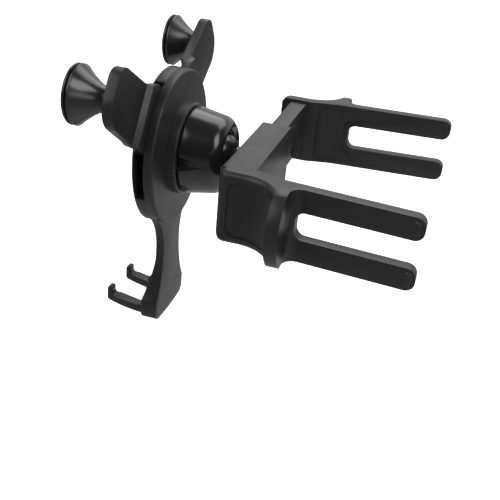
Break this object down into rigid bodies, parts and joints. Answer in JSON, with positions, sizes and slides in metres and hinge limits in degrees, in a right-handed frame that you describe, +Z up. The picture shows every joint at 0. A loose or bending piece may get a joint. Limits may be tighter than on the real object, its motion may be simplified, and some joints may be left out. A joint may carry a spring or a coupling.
{
  "type": "car phone holder",
  "caption": "Car phone holder: a sliding clamp with forked claws, a lockable ball joint and a round cradle with sprung swinging arms, horn-shaped posts and a hooked leg.",
  "frame": {"origin": "on the rear face of the clamp rail, in line with the ball stud", "axes": "+X along the clamp bar towards the fixed claw, +Y out of the rail's rear face along the claw forks, +Z up; the phone side looks along -Y"},
  "size_m": [0.1233, 0.1189, 0.108],
  "materials": {
    "shell": "satin",
    "seat": "matte",
    "rubber": "matte",
    "cap": "satin",
    "ring": "satin",
    "steel": "satin"
  },
  "bodies": {
    "clamp": {"fixed_claw": "shell", "ball_stud": "shell", "stud_screw": "steel", "stop_pin": "steel", "thumb_pad_fixed": "rubber", "grip_pad_fixed": "rubber"},
    "slider": {"sliding_claw": "shell", "thumb_pad_sliding": "rubber", "grip_pad_sliding": "rubber", "friction_shoe": "seat", "shoe_spring": "steel"},
    "yaw_ring": {"rear_seat": "seat"},
    "tilt_cup": {"front_seat": "seat"},
    "cradle": {"rear_cover": "shell", "front_housing": "shell", "housing_screws": "steel", "puck": "shell", "pad_ring": "ring", "centre_pad": "rubber", "foot_hooks": "shell", "foot_pad": "rubber", "arm_spring": "steel"},
    "nut": {"lock_nut": "shell"},
    "right_arm": {"arm_right": "shell", "horn_right": "rubber", "horn_cap_right": "cap"},
    "left_arm": {"arm_left": "shell", "horn_left": "rubber", "horn_cap_left": "cap"},
    "slide_bar": {"cross_slide": "shell"}
  },
  "joints": [
    {"name": "claw_slide", "type": "slide", "parent": "clamp", "child": "slider", "axis": [1, 0, 0], "range_m": [-0.011, 0.0205]},
    {"name": "ball_turn", "type": "hinge", "parent": "clamp", "child": "yaw_ring", "pos_m": [0, -0.0257, 0], "axis": [0, 0, 1], "range_deg": [-18, 18]},
    {"name": "ball_tilt", "type": "hinge", "parent": "yaw_ring", "child": "tilt_cup", "pos_m": [0, -0.0257, 0], "axis": [1, 0, 0], "range_deg": [-18, 18]},
    {"name": "ball_roll", "type": "hinge", "parent": "tilt_cup", "child": "cradle", "pos_m": [0, -0.0257, 0], "axis": [0, 1, 0], "continuous": true},
    {"name": "nut_turn", "type": "hinge", "parent": "cradle", "child": "nut", "pos_m": [0, -0.0257, 0], "axis": [0, 1, 0], "range_deg": [0, 180]},
    {"name": "arm_right_swing", "type": "hinge", "parent": "cradle", "child": "right_arm", "pos_m": [0, -0.0385, 0], "axis": [0, 1, 0], "range_deg": [0, 30], "stiffness_Nm_per_rad": 0.05, "springref_deg": -22.92, "deforming": ["arm_spring"]},
    {"name": "arm_left_swing", "type": "hinge", "parent": "cradle", "child": "left_arm", "pos_m": [0, -0.0385, 0], "axis": [0, -1, 0], "range_deg": [0, 30], "deforming": ["arm_spring"]},
    {"name": "cross_travel", "type": "slide", "parent": "cradle", "child": "slide_bar", "axis": [0, 0, -1], "range_m": [0, 0.0084]}
  ],
  "couplings": [
    {"joint": "arm_left_swing", "follows": "arm_right_swing", "ratio": 1},
    {"joint": "cross_travel", "follows": "arm_right_swing", "m_per_rad": 0.01586}
  ]
}
